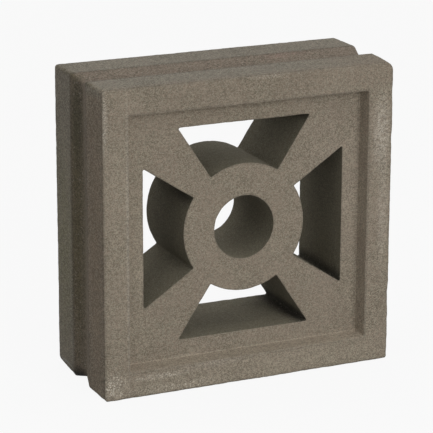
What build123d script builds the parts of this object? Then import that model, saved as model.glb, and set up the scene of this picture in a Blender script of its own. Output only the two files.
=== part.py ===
"""Square cast screen block: grooved edges, a recessed panel on each face, an X of ribs and a ring.

The block stands on one edge. X is its width, Y its depth, with the front face towards -Y, and Z
its height. The origin is the middle of the edge that it stands on. All sizes are in millimetres.
The front half is modelled first, from the middle of the depth to the front face. The back half is
its mirror image.
"""

from build123d import *
from math import cos, radians, sin, tan
import os

# Outer body
block_side = 200.0
block_depth = 80.0
corner_radius = 2.0
face_arris_radius = 1.5

# Mortar groove round all four edges, between a front flange and a back flange
flange_thickness = 27.0
groove_depth = 3.2
groove_floor_width = 2.0

# Recessed panel in the front face and in the back face
border_width = 17.5
recess_depth = 10.0
recess_draft_angle = 11.0
recess_corner_radius = 1.5

# Four openings, with a margin of panel outside them. The ribs between them are wedges that point
# at the middle of the ring.
panel_margin = 11.5
rib_angle = 23.4
opening_corner_radius = 0.6

# Ring in the middle of the block, and the bore through it
ring_radius = 42.0
bore_radius = 20.5

# Depths, measured from the middle of the block towards its front face
front_face_depth = block_depth / 2
panel_face_depth = front_face_depth - recess_depth
groove_edge_depth = front_face_depth - flange_thickness
groove_floor_edge_depth = groove_floor_width / 2

# Squares that the faces of the block are drawn with
groove_floor_side = block_side - 2 * groove_depth
rim_side = block_side - 2 * border_width
panel_side = rim_side - 2 * recess_depth * tan(radians(recess_draft_angle))

# Corners of the upper opening, whose sides lie at its half angle from the vertical
opening_half_angle = 45.0 - rib_angle / 2
opening_top = panel_side / 2 - panel_margin
opening_top_half_width = opening_top * tan(radians(opening_half_angle))
ring_corner_x = ring_radius * sin(radians(opening_half_angle))
ring_corner_y = ring_radius * cos(radians(opening_half_angle))

middle_plane = Plane(origin=(0, 0, block_side / 2), x_dir=(1, 0, 0), z_dir=(0, -1, 0))

with BuildPart() as breeze_block:
    # Core that forms the flat floor of the groove
    with BuildSketch(middle_plane):
        RectangleRounded(groove_floor_side, groove_floor_side, corner_radius)
    extrude(amount=groove_floor_edge_depth)

    # Sloping wall of the groove, which meets itself in a mitre at each corner
    with BuildSketch(middle_plane.offset(groove_floor_edge_depth)):
        RectangleRounded(groove_floor_side, groove_floor_side, corner_radius)
    with BuildSketch(middle_plane.offset(groove_edge_depth)):
        RectangleRounded(block_side, block_side, corner_radius)
    loft(ruled=True)

    # Flange from the groove to the front face, with a soft outer arris
    with BuildSketch(middle_plane.offset(groove_edge_depth)):
        RectangleRounded(block_side, block_side, corner_radius)
    extrude(amount=flange_thickness)
    front_arris = breeze_block.faces().sort_by(Axis.Y)[0].edges()
    fillet(front_arris, face_arris_radius)

    # Recess with drafted walls, down to the panel
    with BuildSketch(middle_plane.offset(panel_face_depth)):
        RectangleRounded(panel_side, panel_side, recess_corner_radius)
    with BuildSketch(middle_plane.offset(front_face_depth)):
        RectangleRounded(rim_side, rim_side, recess_corner_radius)
    loft(ruled=True, mode=Mode.SUBTRACT)

    # Four like openings that leave the ribs along the diagonals
    with BuildSketch(middle_plane):
        with BuildSketch(mode=Mode.PRIVATE) as opening:
            with BuildLine():
                top_side = Line(
                    (-opening_top_half_width, opening_top),
                    (opening_top_half_width, opening_top),
                )
                right_side = Line(top_side @ 1, (ring_corner_x, ring_corner_y))
                ring_side = ThreePointArc(
                    right_side @ 1,
                    (0, ring_radius),
                    (-ring_corner_x, ring_corner_y),
                )
                Line(ring_side @ 1, top_side @ 0)
            make_face()
            fillet(opening.vertices(), opening_corner_radius)
        with PolarLocations(0, 4):
            add(opening.sketch)
        Circle(bore_radius)
    extrude(amount=front_face_depth, mode=Mode.SUBTRACT)

    # Back half
    mirror(about=middle_plane)

breeze_block.part.label = "breeze_block"

os.makedirs("parts", exist_ok=True)
export_step(breeze_block.part, "parts/breeze_block.step")
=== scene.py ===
"""Visual model of the square cast screen block: worn arrises, sandy cast skin and salt bloom.

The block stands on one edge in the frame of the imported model. X is its width, Y its depth, with
the front face towards -Y, and Z its height. The mesh is worked out in millimetres and turned into
metres at the end. Materials, lamps and the camera are in metres.
"""

import logging
import math
from dataclasses import dataclass, field, replace
from enum import Enum

import bmesh
import bpy
import numpy as np
from mathutils import Matrix, Vector, noise
from mathutils.geometry import delaunay_2d_cdt

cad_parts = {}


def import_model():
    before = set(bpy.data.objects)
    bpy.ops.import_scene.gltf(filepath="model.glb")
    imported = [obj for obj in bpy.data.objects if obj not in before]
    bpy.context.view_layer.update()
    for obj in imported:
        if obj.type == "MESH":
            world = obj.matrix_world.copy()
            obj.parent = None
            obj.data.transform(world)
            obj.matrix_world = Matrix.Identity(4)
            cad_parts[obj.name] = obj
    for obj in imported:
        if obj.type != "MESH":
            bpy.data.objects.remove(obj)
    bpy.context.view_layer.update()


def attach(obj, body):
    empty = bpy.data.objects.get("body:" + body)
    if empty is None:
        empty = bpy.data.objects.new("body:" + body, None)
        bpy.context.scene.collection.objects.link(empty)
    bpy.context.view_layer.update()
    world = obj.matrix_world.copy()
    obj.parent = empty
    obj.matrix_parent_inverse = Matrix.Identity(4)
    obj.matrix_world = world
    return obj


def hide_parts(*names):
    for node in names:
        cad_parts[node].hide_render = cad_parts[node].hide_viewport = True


logging.basicConfig(level=logging.INFO, format="%(message)s")
log = logging.getLogger("screen_block")

Pair = tuple[float, float]
Triple = tuple[float, float, float]
Colour = tuple[float, float, float, float]

MM = 0.001
IMAGE_SIDE = 433
SENSOR_WIDTH = 36.0
FLOAT = "NodeSocketFloat"
VECTOR = "NodeSocketVector"

STEP_GROWTH = 0.32
LEAST_STEP = 0.2
NOISE_STEPS = (13.1, 7.7, 3.3)
NOISE_GAIN = 1.6
ARRIS_REACH = 0.75
TINY = 1e-9


class Skin(Enum):
    """Kinds of cast surface on the block, in the order of the piece's material slots."""

    PRESSED = 0
    MOULD_SIDE = 1
    CORED = 2
    DRAFTED = 3


@dataclass(frozen=True)
class BlockSizes:
    """Sizes of the block, in millimetres and degrees, as the solid has them."""

    side: float = 200.0
    depth: float = 80.0
    corner_radius: float = 2.0
    flange_thickness: float = 27.0
    groove_depth: float = 3.2
    groove_floor_width: float = 2.0
    border_width: float = 17.5
    recess_depth: float = 10.0
    recess_draft_angle: float = 11.0
    recess_corner_radius: float = 1.5
    panel_margin: float = 11.5
    rib_angle: float = 23.4
    opening_corner_radius: float = 0.6
    ring_radius: float = 42.0
    bore_radius: float = 20.5

    @property
    def half_side(self) -> float:
        """Half the width of the block."""
        return self.side / 2

    @property
    def front(self) -> float:
        """Depth of the front face from the middle of the block."""
        return self.depth / 2

    @property
    def panel(self) -> float:
        """Depth of the recessed panel from the middle of the block."""
        return self.front - self.recess_depth

    @property
    def foot_inset(self) -> float:
        """Distance from the outside of the block to the foot of the recess wall."""
        slope = math.tan(math.radians(self.recess_draft_angle))
        return self.border_width + self.recess_depth * slope


@dataclass
class Patch:
    """A part of the block's surface.

    Attributes:
        points: Vertex positions in millimetres, one row each.
        faces: Vertex numbers of each face.
        skins: Kind of cast surface of each face.
        arris: Nearness of each vertex to a worn arris, from 0 to 1.
    """

    points: np.ndarray
    faces: list[tuple[int, ...]]
    skins: list[int]
    arris: np.ndarray


def graded_steps(length: float, start: float, end: float, widest: float) -> np.ndarray:
    """Divides a length into steps that are fine at its ends and wider in its middle.

    Args:
        length: Length to divide.
        start: Step at the start.
        end: Step at the end.
        widest: Widest step.

    Returns:
        Distances from the start, with both ends.
    """
    marks = [0.0]
    while marks[-1] < length:
        here = marks[-1]
        step = min(start + STEP_GROWTH * here, end + STEP_GROWTH * (length - here), widest)
        marks.append(here + max(step, LEAST_STEP))
    steps = np.array(marks)
    return steps * (length / steps[-1])


def ripple(points: np.ndarray, lump: float, seed: float) -> np.ndarray:
    """Evaluates smooth noise at each point.

    Args:
        points: Positions in millimetres, one row each.
        lump: Size of the noise's lumps in millimetres.
        seed: Offset that picks the pattern.

    Returns:
        One value for each point, from -1 to 1.
    """
    shift = Vector([seed * step for step in NOISE_STEPS])
    flat = points.reshape(-1, 3) / lump
    values = [noise.noise(Vector(p) + shift) for p in flat.tolist()]
    return np.clip(np.array(values).reshape(points.shape[:-1]) * NOISE_GAIN, -1.0, 1.0)


@dataclass(frozen=True)
class ArrisWear:
    """How far an arris is worn round: a radius that wanders along it, with a chip here and there.

    Attributes:
        radius: Mean radius in millimetres.
        wander: Change of the radius over a few centimetres.
        crumble: Change of the radius over a few millimetres.
        chip: Extra radius in the middle of a chip.
        chip_level: Noise level above which a chip starts.
        seed: Offset that picks the pattern.
        wander_lump: Length over which the radius wanders.
        crumble_lump: Length over which it crumbles.
        chip_lump: Length of a chip and of the sound arris beside it.
        least: Least radius.
    """

    radius: float
    wander: float
    crumble: float
    chip: float
    chip_level: float
    seed: float
    wander_lump: float = 26.0
    crumble_lump: float = 4.2
    chip_lump: float = 9.0
    least: float = 0.35

    def along(self, points: np.ndarray) -> np.ndarray:
        """Gives the radius at each point of an arris.

        Args:
            points: Positions on the arris, in millimetres.

        Returns:
            Radii in millimetres.
        """
        slow = ripple(points, self.wander_lump, self.seed)
        quick = ripple(points, self.crumble_lump, self.seed + 1.0)
        lumps = ripple(points, self.chip_lump, self.seed + 2.0)
        chips = np.clip((lumps - self.chip_level) / (1.0 - self.chip_level), 0.0, 1.0)
        radii = self.radius + self.wander * slow + self.crumble * quick + self.chip * chips
        return np.clip(radii, self.least, None)


def round_corner(
    points: np.ndarray,
    corner: Pair,
    normals: tuple[Pair, Pair],
    radii: np.ndarray,
    convex: bool,
) -> np.ndarray:
    """Moves the points of a cross-section that lie near a corner onto a round of that corner.

    Args:
        points: Cross-section points, in an array whose last axis holds the two coordinates.
        corner: Place of the sharp corner.
        normals: Outward unit normals of the two faces that meet in it.
        radii: Radius at each column of points.
        convex: True for an arris, False for a crease.

    Returns:
        The points after the move.
    """
    first, second = (np.array(n, float) for n in normals)
    sign = 1.0 if convex else -1.0
    towards = (first + second) / (1.0 + first @ second)
    centres = np.array(corner, float) - sign * radii[..., None] * towards
    arm = points - centres
    cross = first[0] * second[1] - first[1] * second[0]
    part_a = sign * (arm[..., 0] * second[1] - arm[..., 1] * second[0]) / cross
    part_b = sign * (first[0] * arm[..., 1] - first[1] * arm[..., 0]) / cross
    length = np.linalg.norm(arm, axis=-1)
    cosine = float(first @ second)
    touch = radii * math.sqrt((1.0 - cosine) / (1.0 + cosine))
    close = np.linalg.norm(points - np.array(corner, float), axis=-1) <= touch
    near = close & (part_a > 0) & (part_b > 0) & (length > radii)
    scale = np.where(near, radii / np.maximum(length, TINY), 1.0)
    return centres + arm * scale[..., None]


def arris_nearness(
    rows: np.ndarray, corner: Pair, radii: np.ndarray, margin: float
) -> np.ndarray:
    """Tells how near the points of a cross-section lie to a worn arris.

    Args:
        rows: Cross-section points with sharp corners, one row each.
        corner: Place of the sharp corner.
        radii: Radius at each column of points.
        margin: Distance over which the nearness falls off beside the smallest round.

    Returns:
        Nearness from 0 to 1, with a row for each point and a column for each radius.
    """
    gap = np.linalg.norm(rows - np.array(corner), axis=1)
    reach = margin + ARRIS_REACH * radii
    return np.exp(-((gap[:, None] / reach[None, :]) ** 2))


def grid_faces(rows: int, columns: int) -> list[tuple[int, ...]]:
    """Joins the rows of a closed grid with four-sided faces.

    Args:
        rows: Number of rows.
        columns: Number of points in each row. The last joins the first.

    Returns:
        Vertex numbers of each face.
    """
    faces = []
    for low in range(0, (rows - 1) * columns, columns):
        high = low + columns
        for column in range(columns):
            following = (column + 1) % columns
            faces.append((low + column, low + following, high + following, high + column))
    return faces


@dataclass
class GroovedFrame:
    """Outer frame of the block: recess walls, borders, flanges and the mortar groove.

    Its cross-section is drawn as inset, from the outside of the block, and depth, from the middle
    of the block towards the front. It runs from the front panel round the outside to the back one.

    Attributes:
        sizes: Sizes of the block.
        panel_band: Width of panel that belongs to the frame, beyond the recess wall's foot.
        outer_wear: Wear of the arris between the front border and a flange.
        back_wear: Wear of the arris between the back border and a flange.
        rim_wear: Wear of the arris between a border and a recess wall.
        groove_wear: Wear of the arris between a flange and the groove.
        arris_margin: Margin of an arris's nearness.
        crease_radius: Radius at the foot of the recess wall and in the groove.
        corner_columns: Number of columns of points in the round of each corner.
        corner_column: Distance between columns beside a corner.
        widest_column: Greatest distance between columns.
        seam_row: Distance between rows of points at a seam.
        crease_row: That distance at a crease.
        arris_row: That distance at a border's arris.
        groove_row: That distance at the groove's arris.
        widest_row: Greatest distance between rows.
    """

    sizes: BlockSizes
    panel_band: float = 2.2
    outer_wear: ArrisWear = ArrisWear(1.5, 0.3, 0.35, 0.8, 0.45, 1.0)
    back_wear: ArrisWear = ArrisWear(0.9, 0.2, 0.2, 0.7, 0.45, 3.0)
    rim_wear: ArrisWear = ArrisWear(0.95, 0.2, 0.15, 0.5, 0.5, 7.0)
    groove_wear: ArrisWear = ArrisWear(1.4, 0.4, 0.4, 1.2, 0.45, 13.0)
    arris_margin: float = 0.9
    crease_radius: float = 0.8
    corner_columns: int = 5
    corner_column: float = 0.8
    widest_column: float = 1.75
    seam_row: float = 1.1
    crease_row: float = 0.5
    arris_row: float = 0.35
    groove_row: float = 0.5
    widest_row: float = 1.9

    def columns(self) -> tuple[np.ndarray, np.ndarray, np.ndarray, np.ndarray]:
        """Lays out the columns of points that run round the block.

        Returns:
            Place along the straight part from -1 to 1, angle in the corner's arc, and the outward
            and running directions in the plane of the face, one entry for each column.
        """
        edge = self.corner_column
        steps = graded_steps(self.sizes.side, edge, edge, self.widest_column)
        straight = steps / steps[-1] * 2.0 - 1.0
        arc = np.linspace(0.0, math.pi / 2, self.corner_columns + 1)[:-1]
        places = np.concatenate([straight[:-1], np.ones(len(arc))])
        angles = np.concatenate([np.zeros(len(straight) - 1), arc])
        outward = [(0, 1), (1, 0), (0, -1), (-1, 0)]
        running = [(1, 0), (0, -1), (-1, 0), (0, 1)]
        count = len(places)
        return (
            np.tile(places, 4),
            np.tile(angles, 4),
            np.repeat(np.array(outward, float), count, axis=0),
            np.repeat(np.array(running, float), count, axis=0),
        )

    def place(self, inset: np.ndarray, depth: np.ndarray) -> np.ndarray:
        """Places cross-section points round the block.

        Args:
            inset: Insets, with one column for each column of points.
            depth: Depths, like inset.

        Returns:
            Positions in millimetres.
        """
        sizes = self.sizes
        places, angles, outward, running = self.columns()
        share = np.clip(inset / sizes.border_width, 0.0, 1.0)
        radius = sizes.corner_radius + share * (sizes.recess_corner_radius - sizes.corner_radius)
        reach = sizes.half_side - inset
        along = places * (reach - radius) + radius * np.sin(angles)
        across = reach - radius + radius * np.cos(angles)
        flat = along[..., None] * running + across[..., None] * outward
        return np.stack([flat[..., 0], -depth, flat[..., 1] + sizes.half_side], axis=-1)

    def corners(self) -> list[Pair]:
        """Gives the sharp corners of the cross-section.

        Returns:
            Inset and depth of each corner.
        """
        sizes = self.sizes
        front_half = [
            (sizes.foot_inset + self.panel_band, sizes.panel),
            (sizes.foot_inset, sizes.panel),
            (sizes.border_width, sizes.front),
            (0.0, sizes.front),
            (0.0, sizes.front - sizes.flange_thickness),
            (sizes.groove_depth, sizes.groove_floor_width / 2),
        ]
        return front_half + [(inset, -depth) for inset, depth in reversed(front_half)]

    def profile(self) -> tuple[np.ndarray, list[int]]:
        """Divides the sharp cross-section into rows of points.

        Returns:
            Inset and depth of each row, and the kind of cast surface after each row but the last.
        """
        corners = self.corners()
        half_steps = [self.seam_row, self.crease_row, self.arris_row, self.arris_row]
        half_steps += [self.groove_row, self.crease_row]
        steps = half_steps + half_steps[::-1]
        half_skins = [Skin.PRESSED, Skin.DRAFTED, Skin.PRESSED, Skin.MOULD_SIDE, Skin.MOULD_SIDE]
        skins = half_skins + [Skin.MOULD_SIDE] + half_skins[::-1]
        rows, row_skins = [np.array(corners[0])], []
        for number, skin in enumerate(skins):
            start, end = np.array(corners[number]), np.array(corners[number + 1])
            length = float(np.linalg.norm(end - start))
            marks = graded_steps(length, steps[number], steps[number + 1], self.widest_row)[1:]
            rows += [start + (end - start) * mark / length for mark in marks]
            row_skins += [skin.value] * len(marks)
        return np.array(rows), row_skins

    def build(self) -> Patch:
        """Builds the frame's surface.

        Returns:
            The patch, whose first and last rows are its seams with the two panels.
        """
        corners = self.corners()
        rows, row_skins = self.profile()
        count = len(self.columns()[0])
        section = np.repeat(rows[:, None, :], count, axis=1)
        arris = np.zeros(section.shape[:2])
        wear = [None, None, self.rim_wear, self.outer_wear, self.groove_wear, None]
        wear += [None, self.groove_wear, self.back_wear, self.rim_wear, None, None]
        for number in range(1, len(corners) - 1):
            before, corner, after = corners[number - 1 : number + 2]
            normals = (self.normal(before, corner), self.normal(corner, after))
            kind = wear[number]
            if kind is None:
                radii = np.full(count, self.crease_radius)
            else:
                radii = kind.along(self.place(*(np.full(count, value) for value in corner)))
                near = arris_nearness(rows, corner, radii, self.arris_margin)
                arris = np.maximum(arris, near)
            section = round_corner(section, corner, normals, radii, kind is not None)
        points = self.place(section[..., 0], section[..., 1]).reshape(-1, 3)
        skins = [skin for skin in row_skins for _ in range(count)]
        return Patch(points, grid_faces(len(rows), count), skins, arris.reshape(-1))

    @staticmethod
    def normal(start: Pair, end: Pair) -> Pair:
        """Gives the outward normal of a cross-section line, as inset and depth.

        Args:
            start: Start of the line.
            end: End of the line, further round the block.

        Returns:
            The unit normal.
        """
        across, along = end[0] - start[0], end[1] - start[1]
        length = math.hypot(across, along)
        return (along / length, -across / length)

    def seam(self) -> np.ndarray:
        """Draws the loop where the frame meets a panel.

        Returns:
            Points of the loop, as X and height above the middle.
        """
        sizes = self.sizes
        count = len(self.columns()[0])
        inset = np.full(count, sizes.foot_inset + self.panel_band)
        loop = self.place(inset, np.zeros(count))
        return np.stack([loop[:, 0], loop[:, 2] - sizes.half_side], axis=1)


@dataclass
class CoredHole:
    """A hole from the front panel to the back one, with a band of panel round both its mouths.

    Attributes:
        sizes: Sizes of the block.
        outline: Points of the hole's outline, as X and height above the middle.
        outward: Direction into the concrete at each of those points.
        band: Width of the band of panel.
        wear: Wear of the arris at both mouths.
        arris_margin: Margin of that arris's nearness.
        seam_row: Distance between rows of points at a seam.
        mouth_row: That distance at a mouth.
        widest_band_row: Greatest distance between rows on a band.
        widest_wall_row: Greatest distance between rows on the wall.
    """

    sizes: BlockSizes
    outline: np.ndarray
    outward: np.ndarray
    band: float = 2.2
    wear: ArrisWear = ArrisWear(0.5, 0.12, 0.15, 0.6, 0.5, 23.0)
    arris_margin: float = 0.8
    seam_row: float = 0.7
    mouth_row: float = 0.3
    widest_band_row: float = 0.8
    widest_wall_row: float = 2.0

    def place(self, offset: np.ndarray, depth: np.ndarray) -> np.ndarray:
        """Places points by their distance into the concrete and their depth.

        Args:
            offset: Distance from the hole's wall into the concrete.
            depth: Distance from the middle of the block towards the front.

        Returns:
            Positions in millimetres.
        """
        flat = self.outline + offset[..., None] * self.outward
        height = flat[..., 1] + self.sizes.half_side
        return np.stack([flat[..., 0], -depth, height], axis=-1)

    def build(self) -> Patch:
        """Builds the hole's wall and the bands round its mouths.

        Returns:
            The patch, whose first and last rows are its seams with the two panels.
        """
        panel, mouth = self.sizes.panel, self.mouth_row
        band = self.band - graded_steps(self.band, self.seam_row, mouth, self.widest_band_row)
        wall = graded_steps(2 * panel, mouth, mouth, self.widest_wall_row)[1:-1]
        offsets = np.concatenate([band, np.zeros(len(wall)), band[::-1]])
        front, back = np.full(len(band), panel), np.full(len(band), -panel)
        rows = np.stack([offsets, np.concatenate([front, panel - wall, back])], axis=1)
        count = len(self.outline)
        section = np.repeat(rows[:, None, :], count, axis=1)
        arris = np.zeros(section.shape[:2])
        for depth in (panel, -panel):
            radii = self.wear.along(self.place(np.zeros(count), np.full(count, depth)))
            normals = ((0.0, math.copysign(1.0, depth)), (-1.0, 0.0))
            section = round_corner(section, (0.0, depth), normals, radii, True)
            near = arris_nearness(rows, (0.0, depth), radii, self.arris_margin)
            arris = np.maximum(arris, near)
        points = self.place(section[..., 0], section[..., 1]).reshape(-1, 3)
        band_skins = [Skin.PRESSED.value] * (len(band) - 1) * count
        wall_skins = [Skin.CORED.value] * (len(wall) + 1) * count
        skins = band_skins + wall_skins + band_skins
        return Patch(points, grid_faces(len(rows), count), skins, arris.reshape(-1))

    def seam(self) -> np.ndarray:
        """Gives the loop where the hole's band meets a panel, as X and height above the middle."""
        return self.outline + self.band * self.outward


def compass(angle: float) -> np.ndarray:
    """Gives the unit direction at an angle, clockwise from straight up."""
    return np.array((math.sin(angle), math.cos(angle)))


@dataclass
class OutlinePen:
    """Draws the right half of an outline, with the direction into the concrete at each point.

    Attributes:
        spacing: Greatest distance between neighbouring points.
        corner_spacing: Distance between points beside a corner.
        corner_steps: Number of steps in the round of a corner.
        points: Points drawn so far.
        normals: Direction into the concrete at each of them.
    """

    spacing: float
    corner_spacing: float = 0.9
    corner_steps: int = 2
    points: list[np.ndarray] = field(default_factory=list)
    normals: list[np.ndarray] = field(default_factory=list)

    def line(self, start: np.ndarray, end: np.ndarray, normal: np.ndarray) -> None:
        """Adds a straight run, without its end.

        Args:
            start: Start of the run.
            end: End of the run.
            normal: Direction into the concrete.
        """
        length = float(np.linalg.norm(end - start))
        edge = self.corner_spacing
        for mark in graded_steps(length, edge, edge, self.spacing)[:-1]:
            self.points.append(start + (end - start) * mark / length)
            self.normals.append(normal)

    def corner(self, centre: np.ndarray, radius: float, start: float, end: float) -> None:
        """Adds the round of a corner, without its end.

        Args:
            centre: Centre of the round.
            radius: Radius of the round.
            start: Angle of its start, clockwise from straight up.
            end: Angle of its end.
        """
        for angle in np.linspace(start, end, self.corner_steps + 1)[:-1]:
            self.points.append(centre + radius * compass(angle))
            self.normals.append(compass(angle))

    def ring(self, radius: float, start: float) -> None:
        """Adds a run that follows the ring, with its end straight above the middle.

        Args:
            radius: Radius of the ring.
            start: Angle of the run's start, clockwise from straight up.
        """
        count = math.ceil(radius * start / self.spacing)
        for angle in np.linspace(start, 0.0, count + 1):
            self.points.append(radius * compass(angle))
            self.normals.append(-compass(angle))

    def both_halves(self) -> list[np.ndarray]:
        """Adds the left half, as a mirror image.

        Returns:
            Points of the whole outline, and the direction into the concrete at each of them.
        """
        mirror = np.array((-1.0, 1.0))
        halves = (np.array(self.points), np.array(self.normals))
        return [np.concatenate([half, (half * mirror)[-2:0:-1]]) for half in halves]


@dataclass
class HoleOutlines:
    """Outlines of the four openings and of the bore.

    Attributes:
        sizes: Sizes of the block.
        spacing: Distance between neighbouring outline points.
    """

    sizes: BlockSizes
    spacing: float = 1.7

    def opening(self, quarter_turns: int) -> CoredHole:
        """Draws one opening.

        Args:
            quarter_turns: Number of quarter turns from the upper opening.

        Returns:
            The opening.
        """
        sizes = self.sizes
        half_angle = math.radians(45.0 - sizes.rib_angle / 2)
        top = sizes.half_side - sizes.foot_inset - sizes.panel_margin
        radius = sizes.opening_corner_radius
        up, aim = compass(0.0), compass(half_angle)
        right = np.array((aim[1], -aim[0]))
        top_round = aim * (top / aim[1]) - radius * ((up + right) / (1.0 + up @ right))
        lift = math.sqrt((sizes.ring_radius + radius) ** 2 - radius**2)
        low_round = aim * lift - right * radius
        low_angle = math.atan2(low_round[0], low_round[1])
        facing = math.pi / 2 + half_angle
        pen = OutlinePen(self.spacing)
        pen.line(np.array((0.0, top)), np.array((top_round[0], top)), up)
        pen.corner(top_round, radius, 0.0, facing)
        pen.line(top_round + radius * right, low_round + radius * right, right)
        pen.corner(low_round, radius, facing, math.pi + low_angle)
        pen.ring(sizes.ring_radius, low_angle)
        outline, outward = pen.both_halves()
        spin = quarter_turns * math.pi / 2
        turned = np.array(
            ((math.cos(spin), -math.sin(spin)), (math.sin(spin), math.cos(spin)))
        )
        return CoredHole(sizes, outline @ turned, outward @ turned)

    def bore(self) -> CoredHole:
        """Draws the bore through the ring.

        Returns:
            The bore.
        """
        radius = self.sizes.bore_radius
        count = math.ceil(2 * math.pi * radius / self.spacing)
        angles = np.arange(count) * 2 * math.pi / count
        outward = np.stack([np.sin(angles), np.cos(angles)], axis=1)
        return CoredHole(self.sizes, radius * outward, outward)


def inside(points: np.ndarray, loop: np.ndarray) -> np.ndarray:
    """Tells which points lie inside a loop.

    Args:
        points: Points in the plane.
        loop: Corners of the loop.

    Returns:
        True for each point that lies inside.
    """
    result = np.zeros(len(points), bool)
    following = np.roll(loop, -1, axis=0)
    for (x0, y0), (x1, y1) in zip(loop.tolist(), following.tolist()):
        if y0 == y1:
            continue
        spans = (points[:, 1] > y0) != (points[:, 1] > y1)
        crossing = x0 + (points[:, 1] - y0) * (x1 - x0) / (y1 - y0)
        result ^= spans & (points[:, 0] < crossing)
    return result


@dataclass
class PiercedPanel:
    """Flat of a panel between the frame and the holes.

    Attributes:
        sizes: Sizes of the block.
        seams: The frame's seam, and then each hole's.
        spacing: Distance between neighbouring points in the flat.
        jitter: Greatest shift of a point from its place in an even grid.
        clearance: Least distance from a seam to a point in the flat.
        same_place: Distance below which two points are one.
        seed: Seed of the points' scatter.
    """

    sizes: BlockSizes
    seams: list[np.ndarray]
    spacing: float = 2.0
    jitter: float = 0.35
    clearance: float = 1.3
    same_place: float = 1e-5
    seed: int = 5

    def covers(self, points: np.ndarray) -> np.ndarray:
        """Tells which points lie on the flat.

        Args:
            points: Points in the plane.

        Returns:
            True for each point inside the frame's seam and outside the holes' seams.
        """
        covered = inside(points, self.seams[0])
        for hole in self.seams[1:]:
            covered &= ~inside(points, hole)
        return covered

    def scatter(self) -> np.ndarray:
        """Scatters points over the flat.

        Returns:
            Points in the plane.
        """
        reach = float(np.abs(self.seams[0]).max())
        rows = np.arange(-reach, reach, self.spacing * math.sqrt(3) / 2)
        across = np.arange(-reach, reach, self.spacing)
        grid = [(x + self.spacing / 2 * (n % 2), y) for n, y in enumerate(rows) for x in across]
        random = np.random.default_rng(self.seed)
        points = np.array(grid) + random.uniform(-self.jitter, self.jitter, (len(grid), 2))
        points = points[self.covers(points)]
        edges = np.concatenate(self.seams)
        gaps = np.array([np.min(np.sum((edges - p) ** 2, axis=1)) for p in points])
        return points[gaps > self.clearance**2]

    def build(self) -> list[Patch]:
        """Builds the flats of the front panel and of the back one.

        Returns:
            The two patches.
        """
        edges, first = [], 0
        for seam in self.seams:
            count = len(seam)
            edges += [(first + n, first + (n + 1) % count) for n in range(count)]
            first += count
        flat = np.concatenate([*self.seams, self.scatter()])
        vectors = [Vector(p) for p in flat.tolist()]
        cut = delaunay_2d_cdt(vectors, edges, [], 0, self.same_place, True)
        triangles, sources = cut[2], cut[3]
        faces = np.array([[sources[v][0] for v in triangle] for triangle in triangles])
        kept = faces[self.covers(flat[faces].mean(axis=1))].tolist()
        height = flat[:, 1] + self.sizes.half_side
        patches = []
        for depth in (self.sizes.panel, -self.sizes.panel):
            points = np.stack([flat[:, 0], np.full(len(flat), -depth), height], axis=1)
            skins = [Skin.PRESSED.value] * len(kept)
            patches.append(Patch(points, kept, skins, np.zeros(len(flat))))
        return patches


@dataclass(frozen=True)
class WornCorner:
    """A corner of the block that is knocked round along its whole depth.

    Attributes:
        side: 1 for the right corner, -1 for the left one.
        end: 1 for the top corner, -1 for the bottom one.
        across: Reach of the wear along the top or bottom.
        down: Reach of the wear along the side.
        forward: Further reach at the front face, as a share of both.
        backward: Further reach at the back face, as a share of both.
        roughness: Change of both reaches over a few millimetres.
        seed: Offset that picks the pattern.
        lump: Length of those changes.
    """

    side: int
    end: int
    across: float
    down: float
    forward: float
    backward: float
    roughness: float
    seed: float
    lump: float = 7.0

    def wear(self, points: np.ndarray, sizes: BlockSizes) -> np.ndarray:
        """Pulls the corner's points onto a rough quarter of an ellipse.

        Args:
            points: Positions in millimetres.
            sizes: Sizes of the block.

        Returns:
            The positions after the wear.
        """
        x = points[:, 0] * self.side
        z = (points[:, 2] - sizes.half_side) * self.end
        depth = points[:, 1] / sizes.front
        further = self.forward * np.clip(-depth, 0.0, 1.0) ** 2
        further = further + self.backward * np.clip(depth, 0.0, 1.0) ** 2
        change = 1.0 + further + self.roughness * ripple(points, self.lump, self.seed)
        across, down = self.across * change, self.down * change
        u = (x - (sizes.half_side - across)) / across
        v = (z - (sizes.half_side - down)) / down
        length = np.sqrt(u**2 + v**2)
        near = (u > 0) & (v > 0) & (length > 1)
        scale = np.where(near, 1.0 / np.maximum(length, TINY), 1.0)
        moved = points.copy()
        moved[:, 0] = self.side * (sizes.half_side - across + u * scale * across)
        moved[:, 2] = self.end * (sizes.half_side - down + v * scale * down) + sizes.half_side
        return np.where(near[:, None], moved, points)


@dataclass(frozen=True)
class Unevenness:
    """Hollows that the faces have all over.

    Attributes:
        depth: Greatest depth of a hollow in millimetres.
        lump: Width of the hollows.
        seed: Offset that picks the pattern.
    """

    depth: float
    lump: float
    seed: float

    def at(self, points: np.ndarray) -> np.ndarray:
        """Gives the depth of the hollows at each point, in millimetres."""
        return self.depth * (0.5 + 0.5 * ripple(points, self.lump, self.seed))


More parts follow.
